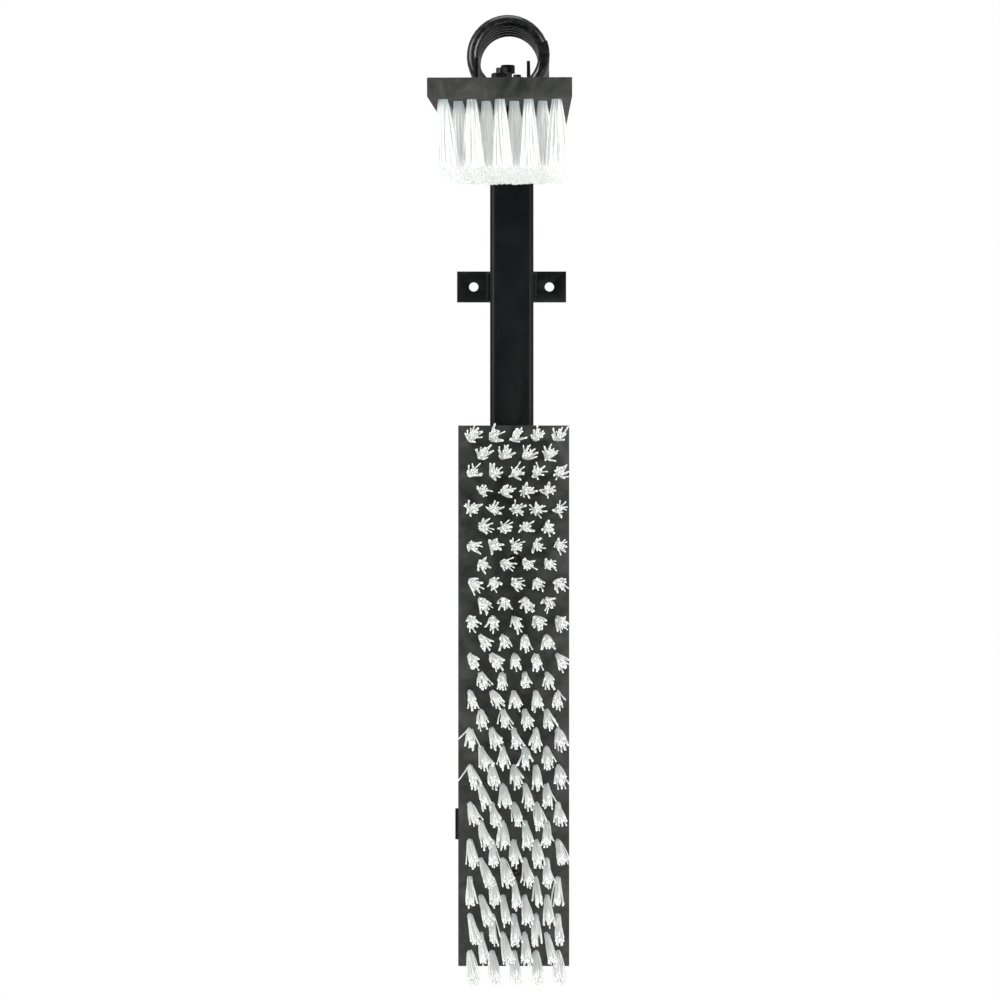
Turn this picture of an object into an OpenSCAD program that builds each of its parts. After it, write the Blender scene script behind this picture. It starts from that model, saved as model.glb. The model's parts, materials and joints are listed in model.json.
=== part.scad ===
// Livestock scratching brush for a wall or a post.
// A vertical brush board is screwed to a square post, and a second board hangs
// over the animal's back on an arm that a heavy coil spring carries.
// X is to the right, Y goes back into the wall (wall plane at Y = 0), Z is up.
// The origin is the centre of the four wall bolts.

/* [Wall post] */
// Outer width of the square tube
post_w = 48; // [40:1:60]
// Wall thickness of the square tube
post_wall = 3; // [2:0.5:5]
// Outside corner radius of the square tube
post_corner = 6; // [4:0.5:8]
// Height of the tube's top end
post_top = 474; // [460:1:476]
// Height of the tube's bottom end
post_bottom = -420; // [-440:1:-380]

/* [Wall straps] */
// Length of each flat strap
strap_len = 122.5; // [110:0.5:140]
// Height of each flat strap
strap_h = 34.5; // [30:0.5:50]
// Thickness of each flat strap
strap_t = 5; // [4:0.5:8]
// Distance between the two straps, centre to centre
strap_spacing = 603; // [560:1:640]
// Distance between the two holes of one strap
hole_spacing = 85; // [80:1:95]
// Diameter of the wall bolt holes
hole_d = 10.5; // [8.5:0.5:12.5]
// How far the lower strap is welded off centre
lower_strap_shift = -2; // [-4:0.5:4]
// Leg length of the weld beads
weld_leg = 6.5; // [4:0.5:8]

/* [Brush boards] */
// Width of both boards
board_w = 121.4; // [110:0.1:130]
// Thickness of both boards
board_t = 17; // [16:1:20]
// Chamfer along the boards' long front edges
board_chamfer = 1.2; // [0.5:0.1:2]
// Length of the upright board on the post
wall_board_len = 591; // [570:1:600]
// Height of the upright board's top end
wall_board_top = 143.7; // [130:0.1:150]
// Sideways place of the upright board's middle
wall_board_x = 2; // [0:0.5:3]
// Length of the board over the animal's back
back_board_len = 410; // [400:1:415]

/* [Bristle tufts] */
// Radius of the upright board's tufts where they leave the board
tuft_base_r = 3.2; // [3:0.05:3.9]
// Radius of the upright board's tufts at their tips
tuft_tip_r = 6.2; // [3.6:0.1:6.5]
// Radius of the other board's tufts where they leave the board
back_tuft_base_r = 3.6; // [3:0.05:3.9]
// Radius of the other board's tufts at their tips
back_tuft_tip_r = 9.5; // [6:0.1:10]
// Free length of the bristles
tuft_len = 57; // [40:1:60]
// Sideways lean of the tufts' tips at the boards' middle
side_lean = 2.9; // [0:0.1:3]
// Loss of sideways lean for each millimetre to the right
side_lean_rate = 0.07; // [0:0.01:0.07]
// Downward lean of the upright board's tips at the height of the origin
down_lean = 1.3; // [0:0.1:2]
// Gain of downward lean for each millimetre down the upright board
down_lean_rate = 0.046; // [0:0.001:0.05]
// Distance between neighbouring tufts across a board
tuft_step = 24; // [23:0.5:25]
// Distance of the end rows from the board's ends
end_margin = 15; // [12:0.5:16]
// Row pitch of the board over the back
row_pitch = 20; // [19.5:0.1:20.1]
// Row pitch of the upright board above its upper screw
upper_row_pitch = 19.25; // [18.5:0.05:19.5]
// Row pitch of the upright board below its upper screw
lower_row_pitch = 20.3; // [20:0.1:20.4]

/* [Board screws] */
// Nominal diameter of the upright board's screws and of the clamp bolts
screw_d = 8; // [8:1:8]
// Diameter of the upright board's socket heads
head_d = 13; // [12:0.5:13]
// Height of the upright board's socket heads
head_h = 8; // [7:0.5:8]
// Nominal diameter of the screws of the board over the back
back_screw_d = 10; // [10:1:10]
// Diameter of their socket heads
back_head_d = 15; // [14:0.5:15]
// Height of their socket heads
back_head_h = 10; // [9:0.5:10]
// Depth of the counterbores in the upright board
counterbore_depth = 10; // [9:0.5:11]
// Height of the upper screw of the upright board
upper_screw_z = -4; // [-6:0.5:-2]
// Height of the lower screw of the upright board
lower_screw_z = -341.5; // [-342:0.5:-340]
// Sideways place of the upright board's screws
wall_screw_x = 3; // [2:0.5:3.5]

/* [Coil spring] */
// Diameter of the spring wire
wire_d = 12; // [10:0.5:12]
// Mean diameter of the coil
coil_mean_d = 74; // [72:0.5:74]
// Axial distance between neighbouring turns
coil_pitch = 25; // [24:0.5:25]
// Angle above the right-hand side where the front end of the wire starts
coil_start = 20; // [15:1:40]
// Length of the straight tail that runs down beside the post
tail_len = 100; // [90:1:105]

/* [Arm] */
// Downward slope of the arm towards its front end
arm_slope = 5.93; // [4:0.01:7]
// Sideways angle of the arm towards the left
arm_yaw = 0.96; // [0:0.01:1.2]
// Outer width of the arm channel
channel_w = 50; // [46:1:52]
// Sheet thickness of the arm channel
channel_t = 3; // [2.5:0.5:3]
// Height of the channel's left leg
left_leg_h = 31; // [26:0.5:32]
// Height of the channel's right leg
right_leg_h = 28; // [26:0.5:32]

/* [Head bracket] */
// Thickness of the cheeks on both sides of the post
cheek_t = 4; // [4:0.5:5]
// Thickness of the plate under the rear turns
saddle_t = 8; // [6:0.5:8]
// Rod diameter of the U-bolt that holds the tail
u_bolt_d = 6; // [5:0.5:6]

/* [Hidden] */
$fn = 48;

// Gap left between pieces that touch on the real object
gap = 0.05;
// Clearance hole and threaded hole for the screws
clear_d = screw_d + 1;
thread_d = screw_d + 0.1;
back_clear_d = back_screw_d + 1;

// Post: its back lies on the straps
post_back = -strap_t;
post_front = post_back - post_w;
post_mid_y = (post_back + post_front) / 2;
cap_t = 3;
plug_len = 14;

// Boards
board_front = post_front - board_t;
counterbore_d = head_d + 1;
screw_seat = board_front + counterbore_depth;
screw_row = 7;
moved_row = 24;
moved_tuft = 3.3;
wall_rows = 29;
back_rows = 20;
back_screw_rows = [5, 15];
wall_screw_len = 25;
rivet_len = 17;
rivet_d = 11;
rivet_bulge_d = 14;
rivet_bulge_h = 4;

// Arm frame: its origin is the middle of the top front edge of the board over
// the back, its Y runs back along the arm and its Z stands on the board
arm_at = [-13.4, -641, 415.3];
channel_tab_y = 95;
channel_leg_y = 157;
channel_drop_y = 428;
channel_low_h = 16;
channel_end_y = 478;
washer_d = 20;
washer_t = 2;
nut_af = 13;
nut_h = 6.2;
locknut_h = 8;
hex_head_h = 5.3;
back_nut_af = 16;
back_nut_h = 8.4;
back_screw_len = 35;

// Coil: its axis is parallel to the arm's Y
coil_r = coil_mean_d / 2;
coil_x = 1.5;
coil_y = 437.6;
coil_z = 59.8;
coil_sweep = 5 * 360 + coil_start;
coil_end_y = coil_y + coil_pitch * coil_sweep / 360;
coil_low = coil_z - coil_r - wire_d / 2;
coil_inside_r = coil_r - wire_d / 2;
wire_sides = 12;
rings_per_turn = 20;
first_bottom = coil_pitch * (coil_start + 90) / 360;
first_gap_y = coil_y + first_bottom + coil_pitch / 2;
last_gap_y = first_gap_y + 3 * coil_pitch;

// Clamps inside the coil
shoe_w = 30;
shoe_len = coil_pitch + 1.4 * wire_d;
shoe_gap = 0.5;
front_shoe_top = 32.9;
front_bolt_x = 10.7;
front_bolt_end = 41.6;
rear_shoe_top = 37;
rear_locknut_z = 49.2;
rear_bolt_end = 57.7;
seat_w = 42;
seat_wall = 4;

// Head bracket
saddle_w = 56;
saddle_y = 512;
saddle_len = 92;
saddle_x = 4;
saddle_low = coil_low - 2 * gap - saddle_t;
cheek_drop = 58;
tail_x = coil_x + coil_r;
tail_clamp_z = -18;
u_bolt_r = (wire_d + u_bolt_d) / 2 + 0.3;
u_bolt_in = 20;

function row_x(i) = i % 2 == 0 ? [-2, -1, 0, 1, 2] : [-1.5, -0.5, 0.5, 1.5];
function wall_row_z(i) = wall_board_top - end_margin
  - upper_row_pitch * min(i, screw_row) - lower_row_pitch * max(i - screw_row, 0);
function tuft_drop(i, x) = i == moved_row && x == 0 ? moved_tuft : 0;
function side_angle(x) = atan((side_lean - side_lean_rate * x) / tuft_len);
function down_angle(z) = atan((down_lean - down_lean_rate * z) / tuft_len);
// Height of the saddle plate's underside above a point of the wall's depth axis
function saddle_z(y) = arm_at[2] + (y - arm_at[1]) * tan(arm_slope)
  + (saddle_low - gap) / cos(arm_slope);

// Frame of the arm, sloping down to the front and turned a little to the left
module arm_frame() {
  translate(arm_at) rotate([arm_slope, 0, -arm_yaw]) children();
}

module rounded_square(w, r) {
  square([w - 2 * r, w], center = true);
  square([w, w - 2 * r], center = true);
  for (x = [-1, 1], y = [-1, 1]) translate([x, y] * (w / 2 - r)) circle(r);
}

module at_post(z) {
  translate([0, post_mid_y, z]) children();
}

// A tuft that starts a little below the board's face, so that a leaning one can be cut flush
module tuft(base_r = tuft_base_r, tip_r = tuft_tip_r) {
  sunk = 2;
  spread = (tip_r - base_r) / tuft_len;
  translate([0, 0, -sunk])
    cylinder(h = tuft_len + sunk, r1 = base_r - spread * sunk, r2 = tip_r, $fn = 24);
}

// Upright hexagon nut or head, standing on z = 0
module hex_nut(h, af = nut_af, d = thread_d) {
  difference() {
    cylinder(h = h, d = af / cos(30), $fn = 6);
    translate([0, 0, -1]) cylinder(h = h + 2, d = d);
  }
}

module hex_bolt(length) {
  translate([0, 0, -hex_head_h]) cylinder(h = hex_head_h, d = nut_af / cos(30), $fn = 6);
  cylinder(h = length, d = screw_d);
}

// Socket head screw: the head's seat is z = 0 and the shank points up
module socket_screw(length, d = screw_d, wide = head_d, high = head_h) {
  difference() {
    translate([0, 0, -high]) cylinder(h = high, d = wide);
    translate([0, 0, -high - 1]) cylinder(h = d / 2 + 1, d = 0.75 * d / cos(30), $fn = 6);
  }
  cylinder(h = length, d = d);
}

module wall_post() {
  color("#1b1c1d") difference() {
    at_post(post_bottom) linear_extrude(post_top - post_bottom) difference() {
      rounded_square(post_w, post_corner);
      rounded_square(post_w - 2 * post_wall, post_corner - post_wall);
    }
    for (z = [upper_screw_z, lower_screw_z]) translate([wall_screw_x, post_front - 1, z])
      rotate([-90, 0, 0]) cylinder(h = post_wall + 2, d = rivet_d + 0.1);
  }
}

module post_cap() {
  linear_extrude(cap_t) rounded_square(post_w, post_corner);
  translate([0, 0, -plug_len]) linear_extrude(plug_len)
    rounded_square(post_w - 2 * post_wall - 0.4, post_corner - post_wall);
}

module post_top_cap() {
  color("#202020") at_post(post_top + gap) post_cap();
}

module post_bottom_cap() {
  color("#202020") at_post(post_bottom - gap) rotate([180, 0, 0]) post_cap();
}

module wall_strap(z, shift) {
  difference() {
    translate([shift - strap_len / 2, -strap_t, z - strap_h / 2]) cube([strap_len, strap_t, strap_h]);
    for (side = [-1, 1]) translate([side * hole_spacing / 2, -strap_t - 1, z])
      rotate([-90, 0, 0]) cylinder(h = strap_t + 2, d = hole_d);
  }
}

module upper_wall_strap() {
  color("#1d1e1f") wall_strap(strap_spacing / 2, 0);
}

module lower_wall_strap() {
  color("#1d1e1f") wall_strap(-strap_spacing / 2, lower_strap_shift);
}

// Fillet bead along the corner between the post's side and a strap
module weld_bead() {
  x = post_w / 2;
  difference() {
    polygon([[x - 3, -strap_t], [x + weld_leg, -strap_t], [x, -strap_t - weld_leg], [x - 3, -strap_t - 3]]);
    translate([0, post_mid_y]) rounded_square(post_w + 2 * gap, post_corner);
  }
}

module strap_welds() {
  color("#2a2b2c") for (z = [-1, 1] * strap_spacing / 2, side = [0, 1])
    translate([0, 0, z - strap_h / 2 + 1]) mirror([side, 0, 0]) linear_extrude(strap_h - 2) weld_bead();
}

// Side plate in the depth and height plane, under the saddle plate
module cheek_outline() {
  back = post_back - 5;
  low = saddle_z(post_front) - cheek_drop;
  front = arm_at[1] + saddle_y * cos(arm_slope);
  polygon([
    [front, saddle_z(front) - 12], [front + 30, low + 6], [post_front, low], [back, low],
    [back, low + 44], [post_front + 8, saddle_z(post_front + 8)], [front, saddle_z(front)]
  ]);
}

module cheek(side) {
  translate([side * (post_w / 2 + cheek_t / 2 + gap) - cheek_t / 2, 0, 0])
    rotate([90, 0, 90]) linear_extrude(cheek_t) cheek_outline();
}

module head_cheek_left() {
  color("#1c1d1e") cheek(-1);
}

module head_cheek_right() {
  color("#1c1d1e") difference() {
    cheek(1);
    arm_frame() for (side = [-1, 1])
      translate([u_bolt_in, coil_end_y + side * u_bolt_r, tail_clamp_z])
        rotate([0, 90, 0]) cylinder(h = 20, d = u_bolt_d + 1);
  }
}

module head_saddle_plate() {
  color("#1c1d1e") arm_frame() difference() {
    translate([saddle_x - saddle_w / 2, saddle_y, saddle_low]) cube([saddle_w, saddle_len, saddle_t]);
    translate([0, last_gap_y, saddle_low - 1]) cylinder(h = saddle_t + 2, d = clear_d);
  }
}

// Beads where the cheeks meet the post's front corners
module head_welds() {
  low = saddle_z(post_front) - cheek_drop + 3;
  color("#2a2b2c") for (side = [0, 1]) mirror([side, 0, 0])
    translate([post_w / 2 - post_corner + 2.5, post_front - 3, low])
      difference() {
        cube([post_corner - 2.5, 4, 40]);
        translate([-(post_w / 2 - post_corner + 2.5), 3 + post_w / 2, -1])
          linear_extrude(42) rounded_square(post_w + 2 * gap, post_corner);
      }
}

module tail_u_bolt() {
  color("#b9bcc0") arm_frame() translate([tail_x, coil_end_y, tail_clamp_z]) {
    rotate_extrude(angle = 180, start = -90) translate([u_bolt_r, 0]) circle(d = u_bolt_d);
    for (side = [-1, 1]) translate([u_bolt_in - tail_x, side * u_bolt_r, 0])
      rotate([0, 90, 0]) cylinder(h = tail_x - u_bolt_in, d = u_bolt_d);
  }
}

module tail_u_bolt_nuts() {
  color("#b9bcc0") arm_frame() for (side = [-1, 1])
    translate([u_bolt_in + 2.5, coil_end_y + side * u_bolt_r, tail_clamp_z])
      rotate([0, 90, 0]) hex_nut(5, 10, u_bolt_d + 0.1);
}

// Curved shoe that lies inside the coil over two turns
module clamp_shoe(y, top) {
  translate([0, y - shoe_len / 2, 0]) rotate([90, 0, 0]) mirror([0, 0, 1]) linear_extrude(shoe_len)
    intersection() {
      translate([coil_x, coil_z]) circle(coil_inside_r - shoe_gap, $fn = 96);
      translate([coil_x - shoe_w / 2, coil_low]) square([shoe_w, top - coil_low]);
    }
}

module rear_clamp_bolt() {
  color("#1e1e20") arm_frame() translate([0, last_gap_y, saddle_low])
    hex_bolt(rear_bolt_end - saddle_low);
}

module rear_clamp_shoe() {
  color("#1d1d1e") arm_frame() difference() {
    clamp_shoe(last_gap_y, rear_shoe_top);
    translate([0, last_gap_y, coil_low]) cylinder(h = 40, d = clear_d);
  }
}

module rear_clamp_nut() {
  color("#1e1e20") arm_frame() translate([0, last_gap_y, rear_shoe_top]) hex_nut(nut_h);
}

module rear_clamp_locknut() {
  color("#1e1e20") arm_frame() translate([0, last_gap_y, rear_locknut_z]) hex_nut(locknut_h + 1);
}

// Frames along the wire: centre, outward and sideways directions of each ring
function helix_ring(a) =
  let (
    radial = [cos(a), 0, sin(a)],
    lead = coil_pitch / (2 * PI),
    run = norm([lead, coil_r]),
    along = [coil_r * sin(a), lead, -coil_r * cos(a)] / run
  )
  [radial * coil_r + [0, coil_pitch * (coil_start - a) / 360, 0], radial, cross(along, radial)];
function tail_ring(drop) = [[coil_r, coil_end_y - coil_y, -drop], [1, 0, 0], [0, -1, 0]];
function wire_points(ring) = [for (j = [0 : wire_sides - 1])
  ring[0] + wire_d / 2 * (cos(360 * j / wire_sides) * ring[1] + sin(360 * j / wire_sides) * ring[2])];

module coil_spring() {
  last = ceil(rings_per_turn * coil_sweep / 360);
  rings = concat(
    [for (k = [0 : last]) helix_ring(coil_start - coil_sweep * k / last)],
    [for (drop = [8, 40, tail_len]) tail_ring(drop)]
  );
  ends = len(rings) - 1;
  color("#1a1a1b") arm_frame() translate([coil_x, coil_y, coil_z]) polyhedron(
    points = [for (ring = rings) each wire_points(ring)],
    faces = concat(
      [[for (j = [0 : wire_sides - 1]) j]],
      [[for (j = [wire_sides - 1 : -1 : 0]) ends * wire_sides + j]],
      [for (k = [0 : ends - 1], j = [0 : wire_sides - 1])
        let (a = k * wire_sides, next = (j + 1) % wire_sides)
        [a + j, a + wire_sides + j, a + wire_sides + next, a + next]]
    )
  );
}

// Side view of one channel leg: full height, then low under the coil
module leg_outline(h) {
  polygon([
    [channel_leg_y, 0], [channel_leg_y, h], [channel_drop_y, h],
    [channel_drop_y + 14, channel_low_h], [channel_end_y, channel_low_h], [channel_end_y, 0]
  ]);
}

module arm_channel() {
  color("#1c1d1e") arm_frame() difference() {
    union() {
      translate([-channel_w / 2, channel_tab_y, gap])
        cube([channel_w, channel_end_y - channel_tab_y, channel_t - gap]);
      translate([-channel_w / 2, 0, gap]) rotate([90, 0, 90])
        linear_extrude(channel_t) leg_outline(left_leg_h - gap);
      translate([channel_w / 2 - channel_t, 0, gap]) rotate([90, 0, 90])
        linear_extrude(channel_t) leg_outline(right_leg_h - gap);
    }
    for (i = back_screw_rows) translate([0, end_margin + i * row_pitch, -1])
      cylinder(h = channel_t + 2, d = back_clear_d);
    translate([front_bolt_x, first_gap_y, -1]) cylinder(h = channel_t + 2, d = clear_d);
  }
}

// Inverted channel that fills the height between the arm and the coil
module front_coil_seat() {
  low = channel_t + gap;
  top = coil_low - 2 * gap;
  color("#1c1d1e") arm_frame() difference() {
    translate([-seat_w / 2, first_gap_y - shoe_len / 2, low]) cube([seat_w, shoe_len - 2, top - low]);
    translate([seat_wall - seat_w / 2, first_gap_y - shoe_len, low - 1])
      cube([seat_w - 2 * seat_wall, 2 * shoe_len, top - low - seat_wall + 1]);
    translate([front_bolt_x, first_gap_y, low]) cylinder(h = top, d = clear_d);
  }
}

module front_clamp_shoe() {
  color("#1d1d1e") arm_frame() difference() {
    clamp_shoe(first_gap_y, front_shoe_top);
    translate([front_bolt_x, first_gap_y, coil_low]) cylinder(h = 40, d = clear_d);
  }
}

module front_clamp_bolt() {
  color("#1e1e20") arm_frame() translate([front_bolt_x, first_gap_y, 0]) hex_bolt(front_bolt_end);
}

module front_clamp_nut() {
  color("#1e1e20") arm_frame() translate([front_bolt_x, first_gap_y, front_shoe_top]) hex_nut(nut_h);
}

// Cross-section of a board, its working face on y = 0 and its back on y = board_t
module board_outline() {
  c = board_chamfer;
  w = board_w / 2;
  polygon([[-w, c], [c - w, 0], [w - c, 0], [w, c], [w, board_t], [-w, board_t]]);
}

module back_brush_board() {
  color("#4a4a4a") arm_frame() difference() {
    translate([0, 0, -board_t]) rotate([90, 0, 0]) mirror([0, 0, 1])
      linear_extrude(back_board_len) board_outline();
    for (i = back_screw_rows) translate([0, end_margin + i * row_pitch, -board_t - 1])
      cylinder(h = board_t + 2, d = back_clear_d);
  }
}

module back_brush_tufts() {
  color("#eef0ee") arm_frame() difference() {
    for (i = [0 : back_rows - 1], x = row_x(i) * tuft_step)
      translate([x, end_margin + i * row_pitch, -board_t])
        rotate([0, 180 - side_angle(x), 0]) tuft(back_tuft_base_r, back_tuft_tip_r);
    translate([-board_w / 2, 0, -board_t]) cube([board_w, back_board_len, board_t]);
    for (i = back_screw_rows) translate([0, end_margin + i * row_pitch, -board_t - back_head_h])
      cylinder(h = back_head_h, d = back_head_d + 0.2);
  }
}

module back_brush_screws() {
  color("#16161a") arm_frame() for (i = back_screw_rows)
    translate([0, end_margin + i * row_pitch, -board_t])
      socket_screw(back_screw_len, back_screw_d, back_head_d, back_head_h);
}

module back_brush_washers() {
  color("#1e1e20") arm_frame() for (i = back_screw_rows)
    translate([0, end_margin + i * row_pitch, channel_t]) difference() {
      cylinder(h = washer_t, d = washer_d);
      translate([0, 0, -1]) cylinder(h = washer_t + 2, d = back_screw_d + 0.4);
    }
}

module back_brush_locknuts() {
  color("#1e1e20") arm_frame() for (i = back_screw_rows)
    translate([0, end_margin + i * row_pitch, channel_t + washer_t])
      hex_nut(back_nut_h, back_nut_af, back_screw_d + 0.1);
}

module wall_brush_board() {
  color("#4a4a4a") difference() {
    translate([wall_board_x, board_front, wall_board_top - wall_board_len])
      linear_extrude(wall_board_len) board_outline();
    for (z = [upper_screw_z, lower_screw_z]) translate([wall_screw_x, 0, z]) rotate([-90, 0, 0]) {
      translate([0, 0, board_front - 1]) cylinder(h = counterbore_depth + 1, d = counterbore_d);
      translate([0, 0, board_front]) cylinder(h = board_t + 1, d = clear_d);
    }
  }
}

module wall_brush_tufts() {
  color("#eef0ee") difference() {
    for (i = [0 : wall_rows - 1], x = row_x(i) * tuft_step)
      let (z = wall_row_z(i) - tuft_drop(i, x))
        translate([wall_board_x + x, board_front, z]) rotate([90 + down_angle(z), 0, side_angle(x)]) tuft();
    translate([wall_board_x - board_w / 2, board_front, wall_board_top - wall_board_len])
      cube([board_w, board_t, wall_board_len]);
  }
}

module wall_brush_screws() {
  color("#16161a") for (z = [upper_screw_z, lower_screw_z])
    translate([wall_screw_x, screw_seat, z]) rotate([-90, 0, 0]) socket_screw(wall_screw_len);
}

// Flush rivet nuts: the sleeve fills the hole and bulges behind the tube wall
module post_rivet_nuts() {
  color("#9a9da0") for (z = [upper_screw_z, lower_screw_z])
    translate([wall_screw_x, post_front, z]) rotate([-90, 0, 0]) difference() {
      union() {
        cylinder(h = rivet_len, d = rivet_d);
        translate([0, 0, post_wall + gap]) cylinder(h = rivet_bulge_h, d = rivet_bulge_d);
      }
      translate([0, 0, -1]) cylinder(h = rivet_len + 2, d = thread_d);
    }
}

wall_post();
post_top_cap();
post_bottom_cap();
upper_wall_strap();
lower_wall_strap();
strap_welds();
head_cheek_left();
head_cheek_right();
head_saddle_plate();
head_welds();
tail_u_bolt();
tail_u_bolt_nuts();
rear_clamp_bolt();
rear_clamp_shoe();
rear_clamp_nut();
rear_clamp_locknut();
coil_spring();
arm_channel();
front_coil_seat();
front_clamp_shoe();
front_clamp_bolt();
front_clamp_nut();
back_brush_board();
back_brush_tufts();
back_brush_screws();
back_brush_washers();
back_brush_locknuts();
wall_brush_board();
wall_brush_tufts();
wall_brush_screws();
post_rivet_nuts();
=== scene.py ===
import json
import math
import random

import bpy
from mathutils import Matrix, Vector

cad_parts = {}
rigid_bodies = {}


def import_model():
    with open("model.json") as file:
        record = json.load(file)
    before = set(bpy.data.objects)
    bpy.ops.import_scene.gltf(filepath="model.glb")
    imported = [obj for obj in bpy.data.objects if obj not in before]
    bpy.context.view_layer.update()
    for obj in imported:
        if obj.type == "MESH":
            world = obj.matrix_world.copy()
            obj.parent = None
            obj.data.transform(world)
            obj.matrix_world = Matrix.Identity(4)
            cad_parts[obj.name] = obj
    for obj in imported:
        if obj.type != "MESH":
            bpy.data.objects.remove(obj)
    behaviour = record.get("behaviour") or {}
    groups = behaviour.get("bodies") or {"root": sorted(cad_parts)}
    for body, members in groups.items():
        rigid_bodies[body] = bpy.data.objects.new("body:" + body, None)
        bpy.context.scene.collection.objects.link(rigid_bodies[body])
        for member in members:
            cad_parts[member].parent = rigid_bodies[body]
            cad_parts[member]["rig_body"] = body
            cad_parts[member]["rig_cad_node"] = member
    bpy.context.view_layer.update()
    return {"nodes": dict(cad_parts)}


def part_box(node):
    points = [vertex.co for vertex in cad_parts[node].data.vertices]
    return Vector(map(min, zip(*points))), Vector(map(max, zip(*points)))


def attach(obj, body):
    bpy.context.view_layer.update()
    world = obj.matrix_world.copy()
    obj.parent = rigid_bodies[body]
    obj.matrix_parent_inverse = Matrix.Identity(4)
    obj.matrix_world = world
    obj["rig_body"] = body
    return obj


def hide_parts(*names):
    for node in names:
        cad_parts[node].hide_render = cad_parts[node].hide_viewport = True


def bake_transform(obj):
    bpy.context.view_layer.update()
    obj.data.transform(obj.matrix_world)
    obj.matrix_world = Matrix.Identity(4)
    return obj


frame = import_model()

# ---------------------------------------------------------------------------
# Camera: level, two and a half metres in front of the wall and a little above
# the middle of the post, with a long lens.
bpy.ops.object.camera_add(location=(-0.013, -2.491, 0.0622), rotation=(math.radians(90), 0, 0))
camera = bpy.context.object
camera.name = "front_camera"
camera.data.lens = 79.74
camera.data.sensor_width = 36
camera.data.clip_start = 0.05
camera.data.clip_end = 60
bpy.context.scene.camera = camera

# ---------------------------------------------------------------------------
# Studio: a white sweep seen as plain white, soft boxes left, right, above and low in
# front, and a round pale floor of painted board below the hanging brush.
bpy.context.scene.view_settings.view_transform = "Standard"


def linear_colour(code):
    """The linear colour of an sRGB hex code."""
    parts = [int(code[i:i + 2], 16) / 255 for i in (1, 3, 5)]
    return [c / 12.92 if c <= 0.04045 else ((c + 0.055) / 1.055) ** 2.4 for c in parts] + [1.0]


def add_node(owner, kind, settings=(), links=()):
    """Adds a node to a material or world, with its properties, socket values and links."""
    node = owner.node_tree.nodes.new(kind)
    for key, value in dict(settings).items():
        if key in node.inputs:
            node.inputs[key].default_value = value
        else:
            setattr(node, key, value)
    for key, source in dict(links).items():
        owner.node_tree.links.new(source, node.inputs[key])
    return node


sweep = bpy.data.worlds.new("white_sweep")
bpy.context.scene.world = sweep
sweep.use_nodes = True
sweep.node_tree.nodes.clear()
around = add_node(sweep, "ShaderNodeTexCoord")
axes = add_node(sweep, "ShaderNodeSeparateXYZ", {}, {"Vector": around.outputs["Generated"]})
dark_front = add_node(
    sweep, "ShaderNodeMapRange",
    {"From Min": -0.9, "From Max": 0.3, "To Min": 0.12, "To Max": 0.55},
    {"Value": axes.outputs["Y"]},
)
glow = add_node(
    sweep, "ShaderNodeBackground", {"Color": linear_colour("#FFFFFF")},
    {"Strength": dark_front.outputs["Result"]},
)
backdrop = add_node(sweep, "ShaderNodeBackground", {"Color": linear_colour("#FFFFFF"), "Strength": 1.0})
ray = add_node(sweep, "ShaderNodeLightPath")
seen = add_node(sweep, "ShaderNodeMixShader", {}, {"Fac": ray.outputs["Is Camera Ray"]})
sweep.node_tree.links.new(glow.outputs["Background"], seen.inputs[1])
sweep.node_tree.links.new(backdrop.outputs["Background"], seen.inputs[2])
add_node(sweep, "ShaderNodeOutputWorld", {}, {"Surface": seen.outputs["Shader"]})

for name, place, width, power in (
    ("left_soft_box", (-2.3, -1.9, 1.3), 1.5, 74),
    ("right_soft_box", (2.2, -2.0, 0.5), 1.5, 64),
    ("top_soft_box", (0.1, -0.7, 2.6), 1.6, 30),
    ("low_soft_box", (0.2, -2.0, -1.1), 1.4, 40),
):
    toward = (Vector((0, -0.2, 0)) - Vector(place)).to_track_quat("-Z", "Y")
    bpy.ops.object.light_add(type="AREA", location=place, rotation=toward.to_euler())
    lamp = bpy.context.object
    lamp.name = name
    lamp.data.shape = "SQUARE"
    lamp.data.size = width
    lamp.data.energy = power


def blank_material(name):
    """A material with no nodes yet."""
    material = bpy.data.materials.new(name)
    material.use_nodes = True
    material.node_tree.nodes.clear()
    return material


# Matt emulsion on board: a faint roller texture and slightly uneven tone
painted_board = blank_material("matt_emulsion_on_board")
where = add_node(painted_board, "ShaderNodeTexCoord")
roller = add_node(
    painted_board, "ShaderNodeTexNoise", {"Scale": 6.0, "Detail": 4.0}, {"Vector": where.outputs["Object"]}
)
tone = add_node(
    painted_board, "ShaderNodeMixRGB",
    {"Color1": linear_colour("#E6E6E4"), "Color2": linear_colour("#EEEEEC")},
    {"Fac": roller.outputs["Fac"]},
)
shader = add_node(
    painted_board, "ShaderNodeBsdfPrincipled", {"Roughness": 0.85}, {"Base Color": tone.outputs["Color"]}
)
add_node(painted_board, "ShaderNodeOutputMaterial", {}, {"Surface": shader.outputs["BSDF"]})

bpy.ops.mesh.primitive_cylinder_add(vertices=96, radius=2.4, depth=0.03, location=(0, 0, -1.215))
floor = bpy.context.object
floor.name = "studio_floor"
bpy.ops.object.transform_apply()
floor.data.materials.append(painted_board)

# ---------------------------------------------------------------------------
# Post: a square tube, 48 by 48 by 3 mm, cold formed and welded mild steel, cut to
# length and powder coated black; both ends are closed by pressed-in plastic caps.

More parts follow.
